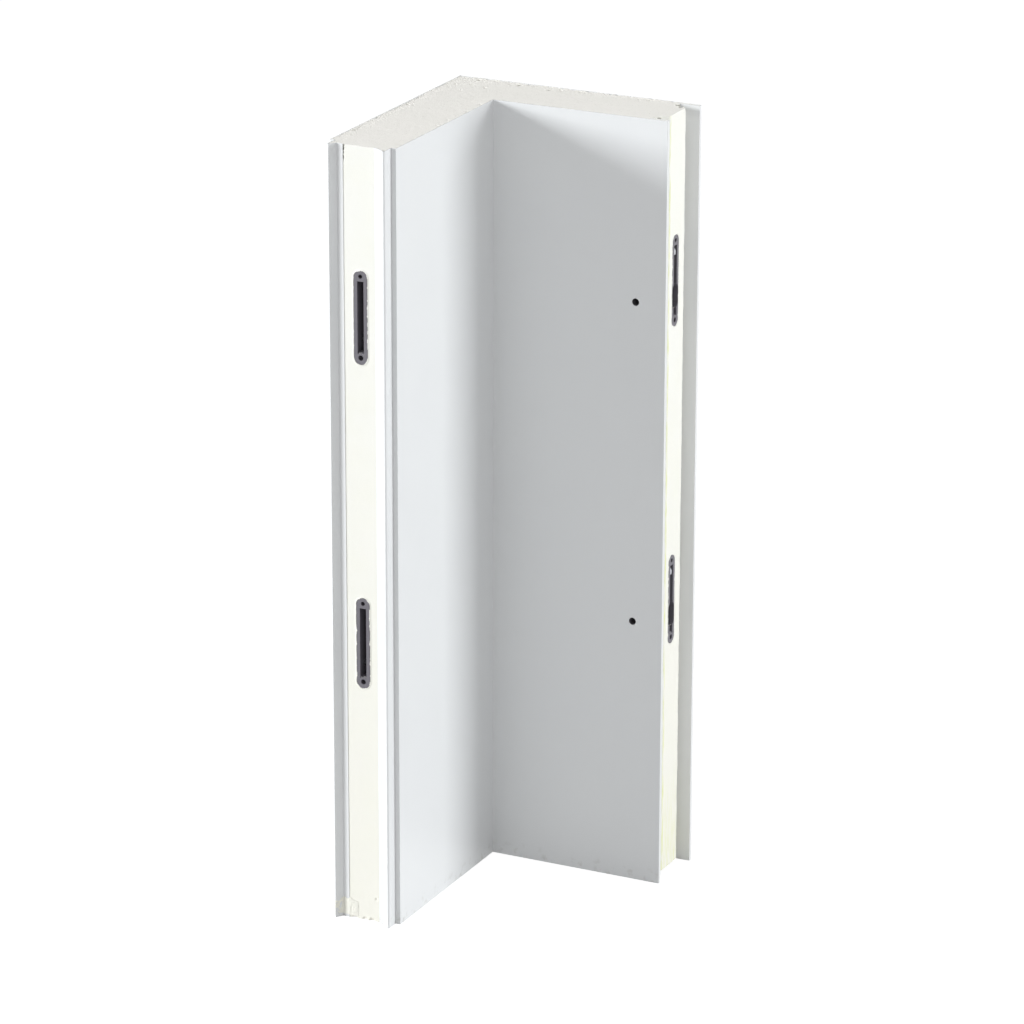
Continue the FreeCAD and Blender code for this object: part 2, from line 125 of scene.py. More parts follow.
def levelness(tree, normal):
    """1 where a face lies level, 0 where it stands upright; normal is Normal or True Normal."""
    facing = add_node(tree, "ShaderNodeNewGeometry", output=normal)
    up = add_node(tree, "ShaderNodeSeparateXYZ", inputs=[facing], output="Z")
    return add_node(tree, "ShaderNodeMath", {"operation": "ABSOLUTE"}, [up])


def blotches(tree, point, size, detail, first, second):
    """Two colours mixed by noise whose blobs are about size metres across."""
    cloud = add_node(tree, "ShaderNodeTexNoise", inputs={
        "Vector": point, "Scale": 1 / size, "Detail": detail})
    return add_node(tree, "ShaderNodeMix", COLOURS, {0: cloud, 6: first, 7: second}, 2)


def patches(tree, point, size, detail, start, end, low=0.0, high=1.0):
    """Noise whose blobs are about size metres across, from low where it is start to high where it is end."""
    cloud = add_node(tree, "ShaderNodeTexNoise", inputs={
        "Vector": point, "Scale": 1 / size, "Detail": detail})
    return add_node(tree, "ShaderNodeMapRange", inputs=[cloud, start, end, low, high])


def all_of(tree, first, *others):
    """The product of masks: 1 only where each of them is 1."""
    for other in others:
        first = add_node(tree, "ShaderNodeMath", {"operation": "MULTIPLY"}, [first, other])
    return first


def fine_grain(tree, shader, point, size, detail, depth, strength):
    """A noise relief of the surface, depth metres high, with grains about size metres across."""
    cloud = add_node(tree, "ShaderNodeTexNoise", inputs={
        "Vector": point, "Scale": 1 / size, "Detail": detail})
    bump = add_node(tree, "ShaderNodeBump", inputs={"Height": cloud, "Distance": depth, "Strength": strength})
    tree.links.new(bump, shader.inputs["Normal"])


def coil_coated_steel():
    """Polyester coil coating on galvanised steel: even white, soft gloss, bare zinc on its cut edges."""
    material, tree, shader = new_material("coil_coated_steel", IOR=1.5)
    point, _, _, height = place_on_piece(tree)
    level = levelness(tree, "True Normal")
    cut = add_node(tree, "ShaderNodeMath", {"operation": "GREATER_THAN"}, [level, 0.9])
    tone = blotches(tree, point, 180 * MM, 2.0, "#E2E3E4", "#E5E6E6")
    # Dirt of the floor, on the lowest 25 mm
    low = add_node(tree, "ShaderNodeMapRange", inputs=[height, 0.0, 25 * MM, 1.0, 0.0])
    grime = all_of(tree, low, patches(tree, point, 9 * MM, 5.0, 0.55, 0.75))
    dusty = add_node(tree, "ShaderNodeMix", COLOURS, {0: all_of(tree, grime, 0.5), 6: tone, 7: "#A9A59B"}, 2)
    zinc = blotches(tree, point, 3 * MM, 3.0, "#8E9092", "#B9BBBC")
    colour = add_node(tree, "ShaderNodeMix", COLOURS, {0: cut, 6: dusty, 7: zinc}, 2)
    tree.links.new(colour, shader.inputs["Base Color"])
    worn = patches(tree, point, 60 * MM, 4.0, 0.3, 0.7, 0.34, 0.42)
    roughness = add_node(tree, "ShaderNodeMath", {"operation": "ADD"}, [worn, all_of(tree, grime, 0.3)])
    tree.links.new(roughness, shader.inputs["Roughness"])
    fine_grain(tree, shader, point, 2.5 * MM, 2.0, 0.02 * MM, 0.6)
    return material


def rigid_foam():
    """Polyurethane foam: a pale cream skin where it was moulded, open cells where it was sawn or torn."""
    material, tree, shader = new_material("rigid_foam", IOR=1.4, Roughness=0.85)
    point, x, y, height = place_on_piece(tree)
    level = levelness(tree, "Normal")
    sawn = add_node(tree, "ShaderNodeMapRange", inputs=[level, 0.4, 0.9])

    # The moulded skin, paler towards the top, with faint clouds
    clouds = add_node(tree, "ShaderNodeTexNoise", inputs={
        "Vector": point, "Scale": 1 / (45 * MM), "Detail": 4.0})
    rise = add_node(tree, "ShaderNodeMapRange", inputs=[height, 0.1, 0.9])
    skin = add_node(tree, "ShaderNodeMix", COLOURS, {0: rise, 6: "#EFEDE4", 7: "#F2F1EB"}, 2)
    faint = add_node(tree, "ShaderNodeMapRange", inputs=[clouds, 0.35, 0.75, 0.0, 0.35])
    skin = add_node(tree, "ShaderNodeMix", COLOURS, {0: faint, 6: skin, 7: "#EFEEE0"}, 2)

    # Upright yellow streaks on the nose: along its room-side edge a painted glow of light bounced in the
    # groove, near the floor streaks of resin
    from_edge = add_node(tree, "ShaderNodeMath", {"operation": "SUBTRACT"}, [y, PAINTED_GLOW_LINE])
    from_edge = add_node(tree, "ShaderNodeMath", {"operation": "ABSOLUTE"}, [from_edge])
    edge = add_node(tree, "ShaderNodeMapRange", inputs=[from_edge, 0.8 * MM, 2.8 * MM, 1.0, 0.0])
    nose = add_node(tree, "ShaderNodeMath", {"operation": "GREATER_THAN"}, [x, groove_bottom])
    upright = add_node(tree, "ShaderNodeVectorMath", {"operation": "MULTIPLY"}, [point, (1, 1, 0.12)])
    streaks = patches(tree, upright, 4 * MM, 3.0, 0.4, 0.62)
    low = add_node(tree, "ShaderNodeMapRange", inputs=[height, 20 * MM, 160 * MM, 0.45, 0.0])
    resin_and_painted_glow = add_node(tree, "ShaderNodeMath", {"operation": "MAXIMUM"},
                     [all_of(tree, edge, nose, streaks), all_of(tree, low, nose, streaks)])
    # The yellow line at the nose's room-side edge is painted light bounced in the groove; the streaks near
    # the floor are resin
    skin = add_node(tree, "ShaderNodeMix", COLOURS, {0: resin_and_painted_glow, 6: skin, 7: "#E2E5A8"}, 2)

    # The sawn faces: a greyer cream, partly painted shade of their rough cells; cells of 0.7 mm, drawn
    # coarser than real ones to show; larger pores and torn pits darkened with painted shade
    # The sawn faces' greyer cream is partly their own colour and partly painted shade of their rough cells
    cut = add_node(tree, "ShaderNodeMix", COLOURS, {0: clouds, 6: "#EEEAE5", 7: "#E9E7E0"}, 2)
    colour = add_node(tree, "ShaderNodeMix", COLOURS, {0: sawn, 6: skin, 7: cut}, 2)
    cells, pores = (add_node(tree, "ShaderNodeTexVoronoi", inputs={"Vector": point, "Scale": 1 / size},
                             output="Distance") for size in (0.7 * MM, 5.5 * MM))
    # Painted shade: the larger pores of the sawn faces are darkened to 0.3 of the dark colour
    pore = add_node(tree, "ShaderNodeMapRange", inputs=[pores, 0.08, 0.16, 1.0, 0.0])
    # Painted shade: the floors of torn pits, 1.3 to 3.2 mm below the top and on faces that are not upright,
    # are darkened towards the dark colour
    painted_pit_shade = add_node(tree, "ShaderNodeMapRange", inputs=[height, TOP - 3.2 * MM, TOP - 1.3 * MM, 0.8, 0.0])
    open_face = add_node(tree, "ShaderNodeMapRange", inputs=[level, 0.15, 0.5])
    near_top = add_node(tree, "ShaderNodeMath", {"operation": "GREATER_THAN"}, [height, TOP - 9 * MM])
    shade = add_node(tree, "ShaderNodeMath", {"operation": "MAXIMUM"},
                     [all_of(tree, pore, sawn, 0.3), all_of(tree, painted_pit_shade, open_face, near_top)])
    colour = add_node(tree, "ShaderNodeMix", COLOURS, {0: shade, 6: colour, 7: "#8D897D"}, 2)
    tree.links.new(colour, shader.inputs["Base Color"])

    cell_depth = add_node(tree, "ShaderNodeMapRange", inputs=[sawn, 0.0, 1.0, 0.15, 1.0])
    dust = add_node(tree, "ShaderNodeTexNoise", inputs={
        "Vector": point, "Scale": 1 / (1.8 * MM), "Detail": 4.0, "Roughness": 0.6})
    relief = add_node(tree, "ShaderNodeMath", {"operation": "ADD"}, [all_of(tree, cells, cell_depth), dust])
    relief = add_node(tree, "ShaderNodeMath", {"operation": "SUBTRACT"}, [relief, all_of(tree, pore, sawn)])
    bump = add_node(tree, "ShaderNodeBump", inputs={"Height": relief, "Distance": 0.25 * MM, "Strength": 0.7})
    tree.links.new(bump, shader.inputs["Normal"])
    return material


def lock_plastic(name, dark, pale):
    """Polyamide or PVC with a fine matt grain, moulded or extruded, a little uneven in tone and gloss."""
    material, tree, shader = new_material(name, IOR=1.53)
    point = add_node(tree, "ShaderNodeTexCoord", output="Object")
    tree.links.new(blotches(tree, point, 6 * MM, 5.0, dark, pale), shader.inputs["Base Color"])
    tree.links.new(patches(tree, point, 2 * MM, 3.0, 0.3, 0.7, 0.42, 0.6), shader.inputs["Roughness"])
    fine_grain(tree, shader, point, 0.35 * MM, 2.0, 0.05 * MM, 0.6)
    return material


def lock_steel(name, pale, dark, rough):
    """Steel with a thin finish, zinc-plated and bright or blackened and dull, a little blotched."""
    material, tree, shader = new_material(name, Metallic=1.0)
    point = add_node(tree, "ShaderNodeTexCoord", output="Object")
    tree.links.new(blotches(tree, point, 8 * MM, 5.0, dark, pale), shader.inputs["Base Color"])
    gloss = patches(tree, point, 3 * MM, 4.0, 0.3, 0.7, rough - 0.06, rough + 0.1)
    tree.links.new(gloss, shader.inputs["Roughness"])
    fine_grain(tree, shader, point, 0.5 * MM, 3.0, 0.02 * MM, 0.5)
    return material


FINISHES = {
    "skin_paint": coil_coated_steel(),
    "foam": rigid_foam(),
    "case_plastic": lock_plastic("moulded_polyamide", "#646167", "#706D74"),
    "tube_plastic": lock_plastic("extruded_pvc", "#6E6C70", "#7A787C"),
    "pin_steel": lock_steel("blackened_pin_steel", "#5A5A5C", "#47474A", 0.5),
    "hook_steel": lock_steel("zinc_plated_cast_steel", "#C8CACE", "#AEB0B5", 0.36),
}
for part in frame["record"]["subparts"]:
    mesh = nodes[part["node"]].data
    mesh.materials.clear()
    mesh.materials.append(FINISHES[part["material_slot"]])


# ---------------------------------------------------------------- the foam as it was moulded, sawn and torn
# Size of the triangles on the foam's bare faces, and depth of the waves in the upright and lower ones
GRAINS = {"top": 1.5 * MM, "bottom": 3.5 * MM, "end": 2.4 * MM, "nose": 2.4 * MM}
WAVES = {"bottom": 0.25 * MM, "end": 0.1 * MM, "nose": 0.25 * MM}
EDGE_STEP = 3 * MM                  # between the points along the foam's edges
ROW_HEIGHT = 0.866                  # of a row of equal-sided triangles, as a share of their side
# Torn places of the foam: centre, radius and depth in mm
TORN = (
    (-149.6, 194.3, 1100, 4.5, 2.8), (-144.4, 161.9, 1100, 3.2, 2.2), (-146.2, 133.3, 1100, 2.6, 1.8),
    (-122.7, 159.4, 1100, 3.2, 2.2), (-98.1, 189.8, 1100, 2.8, 2.0), (-86.5, 193, 1100, 4.6, 3.0),
    (-76.3, 201.2, 1100, 3.4, 2.4), (-38.8, 187.2, 1100, 4.4, 2.8), (-23.5, 191, 1100, 3.4, 2.4),
    (3.5, 196.3, 1100, 3.4, 2.4), (12.4, 194.4, 1100, 3.0, 2.0), (106.1, 197.8, 1100, 4.0, 2.6),
    (111, 199.9, 1100, 3.0, 2.0), (162.5, 117.7, 1100, 4.0, 3.2), (156.9, 119.2, 1100, 4.4, 3.2),
    (150, 118, 1100, 3.0, 2.0), (159.7, 181.1, 1100, 4.5, 3.0), (160, 187.5, 1100, 5.5, 4.5),
    (153, 191.5, 1100, 5.0, 4.5), (152, 189, 1100, 4.0, 2.6),
    (146, 194, 1100, 3.0, 2.2), (166, 183, 1100, 4.0, 3.5),
    (23.5, 105.5, 1100, 3.0, 1.8), (-175.3, 31.8, 1100, 3.6, 2.6), (-178, -104.6, 1100, 3.4, 2.2),
    (-177.1, -120.1, 1100, 4.2, 2.8), (-176, -112, 1100, 3.2, 2.0), (-90, -51, 1100, 2.8, 1.8),
    (-89, -42, 1100, 2.8, 1.8), (-90, -17.5, 1100, 2.6, 1.6), (-90, 7, 1100, 2.6, 1.6),
    (-88, 33, 1100, 3.4, 2.0), (-88, 75, 1100, 3.0, 1.8), (-87.8, -193.8, 1100, 3.2, 2.4),
    (-93, -199, 1100, 3.6, 3.0), (-100, -198, 1100, 3.0, 2.0),
    (-157, -191.5, 1098, 3.2, 2.6), (-157, -191.5, 1093, 3.0, 2.4), (-157, -191.5, 1088, 2.8, 2.0),
    (-157, -191.5, 1083, 2.6, 1.6), (-157, -191.5, 1078, 2.4, 1.0),
    (-145, -191.5, 17, 3.2, 1.6), (-158, -191.5, 6, 4.5, 2.6), (-148, -191.5, 0, 5.0, 2.2),
    (-132, -191.5, 1, 4.0, 1.8), (-121, -191.5, 0, 5.0, 2.4), (-115, -191.5, 34, 2.6, 1.6),
)


def kind_of(normal, low, high):
    """Which bare face of the foam a flat region is, or None where a skin or a case covers it."""
    if abs(normal.z) > 0.9 and abs(high.z - (TOP if normal.z > 0 else 0)) < MM:
        return "top" if normal.z > 0 else "bottom"
    if normal.y < -0.9 and abs(high.y - tongued_face) < MM:
        return "end"
    return "nose" if low.x > groove_bottom - MM else None


def tear(point):
    """Depth in metres to which the foam is torn at a point."""
    deepest = 0.0
    for x, y, z, radius, depth in TORN:
        near = (point - Vector((x, y, z)) * MM).length / (radius * MM)
        near += 0.35 * noise.noise(point / (4 * MM))
        if near < 1:
            deepest = max(deepest, depth * MM * min(1.0, 1.6 * (1 - near)))
    return deepest


def rough(point, kind):
    """How deep a bare face lies below the solid's at a point, in metres."""
    if kind != "top":
        return WAVES[kind] * (1.5 + noise.noise(point / (22 * MM)) + 0.5 * noise.noise(point / (5 * MM)))
    outer = min(point.x - cad_box[0][0], cad_box[1][1] - point.y)
    inner = Vector((max(0.0, room_corner[0] - point.x), max(0.0, point.y - room_corner[1]))).length
    crumbled = max(0.0, 1 - outer / (22 * MM)) + max(0.0, 1 - (point.xy - outer_corner).length / (75 * MM))
    pits = max(0.0, noise.noise(point / (3.2 * MM)) - 0.25) * 6 * MM * min(1.0, crumbled)
    chips = max(0.0, 1 - min(outer, inner) / (5 * MM)) * noise.noise(point / (6 * MM) + Vector((9, 2, 4)))
    level = 0.55 * MM + 0.25 * MM * noise.noise(point / (9 * MM)) + 0.12 * MM * noise.noise(point / (3 * MM))
    return max(0.05 * MM, level + pits - 2.4 * MM * chips)


def flat_regions(bm):
    """Groups of faces that share a plane and hang together."""
    bm.faces.ensure_lookup_table()
    seen, regions = set(), []
    for first in bm.faces:
        if first.index in seen:
            continue
        seen.add(first.index)
        region, queue = [first], [first]
        while queue:
            for edge in queue.pop().edges:
                for face in edge.link_faces:
                    if face.index not in seen and face.normal.dot(first.normal) > 0.99999:
                        seen.add(face.index)
                        region.append(face)
                        queue.append(face)
        regions.append(region)
    return regions


def inside(points, starts, ends):
    """Even-odd test of many 2-D points against boundary edges."""
    crossings = np.zeros(len(points), dtype=int)
    for (x0, y0), (x1, y1) in zip(starts, ends):
        if y0 == y1:
            continue
        spans = (points[:, 1] > min(y0, y1)) & (points[:, 1] <= max(y0, y1))
        crossings += spans & (points[:, 0] < x0 + (points[:, 1] - y0) * (x1 - x0) / (y1 - y0))
    return crossings % 2 == 1


def refine(bm):
    """Remesh a solid's flat regions, finely where they are bare; neighbours share boundary points.
    Gives points, triangles, and the bare kinds that meet at each point with their normals."""
    chains, points, faces, bare = {}, [], [], {}

    def chain(edge):
        """Numbers of the points along an edge, from its first to its second corner."""
        if edge.index not in chains:
            a, b = (v.co for v in edge.verts)
            count = max(1, ceil((b - a).length / EDGE_STEP))
            ids = [corner(edge.verts[0])]
            for i in range(1, count):
                points.append(a.lerp(b, i / count))
                ids.append(len(points) - 1)
            chains[edge.index] = ids + [corner(edge.verts[1])]
        return chains[edge.index]

    corners = {}

    def corner(vertex):
        if vertex.index not in corners:
            points.append(vertex.co.copy())
            corners[vertex.index] = len(points) - 1
        return corners[vertex.index]

    bm.verts.index_update()
    bm.edges.index_update()
    for region in flat_regions(bm):
        members = {face.index for face in region}
        normal = region[0].normal.copy()
        across = normal.orthogonal().normalized() if abs(normal.z) < 0.9 else Vector((1, 0, 0))
        if abs(normal.z) < 0.1:
            across = Vector((0, 0, 1)).cross(normal).normalized()
        along = normal.cross(across)
        local, flat, edges = {}, [], []

        def number(i):
            if i not in local:
                local[i] = len(flat)
                flat.append((points[i].dot(across), points[i].dot(along)))
            return local[i]

        for face in region:
            for edge in face.edges:
                if all(f.index in members for f in edge.link_faces):
                    continue
                ids = [number(i) for i in chain(edge)]
                edges += list(zip(ids, ids[1:]))
        globals_of = {v: k for k, v in local.items()}
        starts, ends = [flat[a] for a, b in edges], [flat[b] for a, b in edges]
        level = normal.dot(region[0].verts[0].co)
        spread = np.array([v.co for face in region for v in face.verts])
        kind = kind_of(normal, Vector(spread.min(axis=0)), Vector(spread.max(axis=0)))
        if kind:
            step = GRAINS[kind]
            low, high = np.min(flat, axis=0), np.max(flat, axis=0)
            rise = step * ROW_HEIGHT
            columns, rows = int((high[0] - low[0]) / step), int((high[1] - low[1]) / rise)
            grid = np.array([(low[0] + (i + 0.5 * (j % 2) + 0.3) * step, low[1] + (j + 0.5) * rise)
                             for j in range(rows) for i in range(columns)])
            grid = grid[inside(grid, starts, ends)] if len(grid) else grid
            flat += [tuple(p) for p in grid]
        verts, _, triangles, originals, _, _ = delaunay_2d_cdt([Vector(p) for p in flat], edges, [], 0, 1e-7)
        centres = np.array([(verts[a] + verts[b] + verts[c]) / 3 for a, b, c in triangles])
        keep = inside(centres, starts, ends)
        ids = []
        for vert, origin in zip(verts, originals):
            known = [globals_of[o] for o in origin if o in globals_of]
            if known:
                ids.append(known[0])
            else:
                points.append(across * vert.x + along * vert.y + normal * level)
                ids.append(len(points) - 1)
        for triangle, kept in zip(triangles, keep):
            if kept:
                faces.append([ids[i] for i in triangle])
                for i in faces[-1] if kind else ():
                    bare.setdefault(i, {})[tuple(normal)] = kind
    return points, faces, bare


def add_mesh(name, points, faces, material):
    mesh = bpy.data.meshes.new(name)
    mesh.from_pydata(points, [], faces)
    mesh.materials.append(material)
    mesh.validate()
    piece = bpy.data.objects.new(name, mesh)
    scene.collection.objects.link(piece)
    return piece


def bare_foam():
    """The foam core with its bare faces roughened and torn inwards, never beyond the solid."""
    bm = bmesh.new()
    bm.from_mesh(nodes["foam_core"].data)
    bm.transform(nodes["foam_core"].matrix_world)
    bmesh.ops.remove_doubles(bm, verts=bm.verts, dist=0.001 * MM)
    bmesh.ops.triangulate(bm, faces=bm.faces)
    bm.normal_update()
    points, faces, bare = refine(bm)
    bm.free()
    moved = [point.copy() for point in points]
    for i, kinds in bare.items():
        deep = tear(points[i])
        for normal, kind in kinds.items():
            moved[i] -= Vector(normal) * (rough(points[i], kind) + deep)
    return add_mesh("foam_body", moved, faces, FINISHES["foam"])


foam = bare_foam()
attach(foam, "panel")
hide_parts("foam_core")


# ---------------------------------------------------------------- foam squeezed out over its neighbours
THINNEST = 0.04 * MM                # a crust ends where it would be thinner


def crust(columns, rows, place, front, back, closed=False):
    """Points and faces of a thin closed crust over a surface.  place gives a point and its outward
    normal for u and v from 0 to 1; front and back give the crust's two sides along that normal."""
    points, faces, ids = [], [], {}
    count = columns if closed else columns + 1
    for i in range(count):
        for j in range(rows + 1):
            u, v = i / columns, j / rows
            point, normal = place(u, v)
            over, under = front(u, v, point), back(u, v)
            if over - under > THINNEST:
                ids[i, j] = len(points)
                points += [point + normal * over, point + normal * under]
    cells = {(i, j): [((i + a) % count, j + b) for a, b in ((0, 0), (1, 0), (1, 1), (0, 1))]
             for i in range(columns) for j in range(rows)}
    cells = {cell: loop for cell, loop in cells.items() if all(corner in ids for corner in loop)}
    edges = {}
    for cell, loop in cells.items():
        tops = [ids[corner] for corner in loop]
        faces += [tops, [top + 1 for top in reversed(tops)]]
        for start, end in zip(tops, tops[1:] + tops[:1]):
            edges[start, end] = True
    for start, end in edges:
        if (end, start) not in edges:
            faces.append([end, start, start + 1, end + 1])
    used = sorted({i for face in faces for i in face})
    renumber = {old: new for new, old in enumerate(used)}
    return [points[i] for i in used], [[renumber[i] for i in face] for face in faces]


def join_solids(name, solids, material):
    """One piece of several closed solids, with their normals turned outwards."""
    bm = bmesh.new()
    for points, faces in solids:
        verts = [bm.verts.new(point) for point in points]
        for face in faces:
            bm.faces.new([verts[i] for i in face])
    bmesh.ops.recalc_face_normals(bm, faces=bm.faces)
    piece = add_mesh(name, [], [], material)
    bm.to_mesh(piece.data)
    bm.free()
    return piece


def case_outline(u, radius, straight):
    """Point and outward direction on an upright slot shape, u running once round it."""
    arc = pi * radius
    run = u * 2 * (arc + straight)
    upper = run < arc + straight
    run -= 0 if upper else arc + straight
    side = 1 if upper else -1
    if run < arc:
        turn = run / radius
        direction = (cos(turn) * side, sin(turn) * side)
        return (direction[0] * radius, direction[1] * radius + side * straight / 2), direction
    return (-side * radius, side * (straight / 2 - (run - arc))), (-side, 0)


def case_flash(kind, level):
    """Foam that came through between a lock case and the mould and lies on the rim of its face."""
    low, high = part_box(f"{kind}_{level}_inner")
    other_low, other_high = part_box(f"{kind}_{level}_outer")
    low = Vector(map(min, low, other_low))
    high = Vector(map(max, high, other_high))
    middle = (low + high) / 2
    if kind == "hook_case":
        across, outward, middle.x = Vector((0, 1, 0)), Vector((1, 0, 0)), high.x
    else:
        across, outward, middle.y = Vector((1, 0, 0)), Vector((0, -1, 0)), low.y
    radius = (high - low).dot(across) / 2
    straight = high.z - low.z - 2 * radius
    reach_in, reach_out = 1.4 * MM, 2.6 * MM

    def offset(v):
        return v * (reach_in + reach_out) - reach_in

    def place(u, v):
        spot, direction = case_outline(u, radius, straight)
        return (middle + across * (spot[0] + direction[0] * offset(v))
                + Vector((0, 0, spot[1] + direction[1] * offset(v)))), outward

    def front(u, v, point):
        lobes = noise.noise(point / (7 * MM)) + 0.3 * noise.noise(point / (2.5 * MM))
        over_case = 0.2 * MM + 1.5 * MM * max(-0.2, lobes)
        if offset(v) < -over_case:
            return -MM
        thickness = 0.14 * MM + 0.1 * MM * noise.noise(point / (3 * MM))
        return thickness - 0.42 * max(0.0, offset(v) - 0.3 * MM)

    def back(u, v):
        return -0.9 * MM if offset(v) > 0.15 * MM else -0.02 * MM

    return crust(190, 9, place, front, back, closed=True)


def squeezed_foam():
    """The lumpy foam that ran out over the foot of the outer tongue's flange."""
    tip = Vector((cad_box[0][0] + 8.2 * MM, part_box("outer_skin")[0][1]))
    neck = Vector((cad_box[0][0] + 16 * MM, tip.y + 10 * MM))
    edge = Vector((cad_box[0][0] + 25.5 * MM, tongued_face))
    far = edge + Vector((14 * MM, 0))
    low, high = 3 * MM, 34 * MM
    runs = ((tip, neck), (neck, edge), (edge, far))
    lengths = [(end - start).length for start, end in runs]
    on_flange = sum(lengths[:2]) / sum(lengths)

    def place(u, v):
        run = u * sum(lengths)
        for (start, end), length in zip(runs, lengths):
            if run <= length or end is far:
                spot = start.lerp(end, run / length)
                across = (end - start).normalized()
                return Vector((*spot, low + v * (high - low))), Vector((across.y, -across.x, 0))
            run -= length

    def front(u, v, point):
        rim = min(1.0, v / 0.15, (1 - u) / 0.2, u / 0.04 + 0.4)
        rim -= max(0.0, (v - 0.68 + 0.16 * noise.noise(point / (7 * MM))) / 0.14)
        lumps = 0.55 + 0.5 * noise.noise(point / (5 * MM)) + 0.25 * noise.noise(point / (2 * MM))
        past_edge = max(0.0, u - on_flange) / (1 - on_flange)
        return 1.3 * MM * min(rim, lumps) - (0.15 + 0.4 * past_edge) * MM

    return crust(60, 50, place, front, lambda u, v: -0.06 * MM if u < on_flange else -0.7 * MM)


rims = [case_flash(kind, level) for kind in ("hook_case", "receiver_case") for level in LOCK_LEVELS]
flash = join_solids("foam_flash", [*rims, squeezed_foam()], FINISHES["foam"])
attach(flash, "panel")


# ---------------------------------------------------------------- crumbs left by the saw
def crumb_tree():
    """Geometry nodes that scatter crumbs of foam over the faces they are given."""
    tree = bpy.data.node_groups.new("foam_crumbs", "GeometryNodeTree")
    for name, direction, kind in (("Geometry", "INPUT", "Geometry"), ("Density", "INPUT", "Float"),
                                  ("Largest", "INPUT", "Float"), ("Geometry", "OUTPUT", "Geometry")):
        tree.interface.new_socket(name, in_out=direction, socket_type=f"NodeSocket{kind}")
    given = {name: add_node(tree, "NodeGroupInput", output=name)
             for name in ("Geometry", "Density", "Largest")}
    spread = add_node(tree, "GeometryNodeDistributePointsOnFaces", inputs={
        "Mesh": given["Geometry"], "Density": given["Density"], "Seed": 7})
    crumb = add_node(tree, "GeometryNodeMeshIcoSphere", inputs={"Radius": 1.0, "Subdivisions": 1})
    vector = {"data_type": "FLOAT_VECTOR"}
    size = add_node(tree, "FunctionNodeRandomValue", vector, {
        0: (0.3, 0.3, 0.3), 1: (1.0, 1.0, 0.8), "Seed": 3})
    scale = add_node(tree, "ShaderNodeVectorMath", {"operation": "SCALE"}, {
        0: size, "Scale": given["Largest"]})
    turn = add_node(tree, "FunctionNodeRandomValue", vector, {0: (0, 0, 0), 1: (6.28, 6.28, 6.28), "Seed": 5})
    crumbs = add_node(tree, "GeometryNodeInstanceOnPoints", inputs={
        "Points": spread, "Instance": crumb, "Rotation": turn, "Scale": scale})
    real = add_node(tree, "GeometryNodeRealizeInstances", inputs=[crumbs])
    coated = add_node(tree, "GeometryNodeSetMaterial", inputs={
        "Geometry": real, "Material": FINISHES["foam"]})
    add_node(tree, "NodeGroupOutput", inputs={"Geometry": coated})
    return tree


def crumbs_on(name, patches, density, largest, tree):
    """Crumbs scattered over patches, each a corner and two sides in mm; density is per square metre."""
    points, faces = [], []
    for corner, *sides in patches:
        first, second, third = (Vector(v) * MM for v in (corner, *sides))
        faces.append([len(points) + i for i in range(4)])
        points += [first, first + second, first + second + third, first + third]
    host = add_mesh(name, points, faces, FINISHES["foam"])
    modifier = host.modifiers.new("crumbs", "NODES")
    modifier.node_group = tree
    sockets = {item.name: item.identifier for item in tree.interface.items_tree if item.in_out == "INPUT"}
    modifier[sockets["Density"]] = density
    modifier[sockets["Largest"]] = largest
    scattered = bpy.data.meshes.new_from_object(host.evaluated_get(bpy.context.evaluated_depsgraph_get()))
    host.modifiers.clear()
    host.data = scattered
    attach(host, "panel")


crumbs = crumb_tree()
top = TOP / MM - 0.62               # of the sawn foam, a little below the skins
crumbs_on("foam_crumbs_top", [
    ((-176, 186, top), (150, 0, 0), (0, 14, 0)), ((-150, 160, top), (60, 0, 0), (0, 26, 0)),
    ((-26, 192, top), (180, 0, 0), (0, 8, 0)), ((-179, -180, top), (6, 0, 0), (0, 366, 0)),
    ((-88, -190, top), (4, 0, 0), (0, 290, 0)), ((-80, 106, top), (240, 0, 0), (0, 3, 0)),
], 45e3, 0.5 * MM, crumbs)
ledges = []
for level in LOCK_LEVELS:
    # Round a hook's window and slot, and below a receiver's slot; the key tube lies on the hook's pivot
    pivot = round(sum(corner[2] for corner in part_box(f"key_tube_{level}")) / 2 / MM)
    ledges += [((158.7, y, pivot - 16), (0, 3.6, 0), (0, 0, 32)) for y in (144.8, 158.6)]
    ledges += [((159, 149, pivot - 17.2), (8, 0, 0), (0, 9, 0)),
               ((165.6, 149, pivot - 27), (2.8, 0, -1.4), (0, 9, 0)),
               ((-136.4, -191.2, pivot - 28.2), (8.8, 0, 0), (0, 2.6, 1.6))]
crumbs_on("foam_crumbs_locks", ledges, 700e3, 0.5 * MM, crumbs)
crumbs_on("foam_crumbs_nose", [
    ((167.6, 182, 8), (1.2, 0.6, 0), (0, 0, 1080)), ((-157.5, -191.7, 40), (2, 0, 0), (0, 0, 1040)),
], 60e3, 0.55 * MM, crumbs)


# ---------------------------------------------------------------- studio
def add_camera():
    """Standing a little to the right of the tongued leg and looking down into the corner."""
    data = bpy.data.cameras.new("camera")
    data.sensor_width = 36
    data.lens = 180.6
    camera = bpy.data.objects.new("camera", data)
    heading, pitch, roll = radians(116.01), radians(18.96), radians(0.11)
    forward = Vector((cos(heading) * cos(pitch), sin(heading) * cos(pitch), -sin(pitch)))
    camera.rotation_mode = "QUATERNION"
    upright = forward.to_track_quat("-Z", "Y")
    camera.rotation_quaternion = upright @ Matrix.Rotation(roll, 3, "Z").to_quaternion()
    camera.location = (2.901, -5.9495, 2.829)
    data.clip_end = 50
    scene.collection.objects.link(camera)
    scene.camera = camera


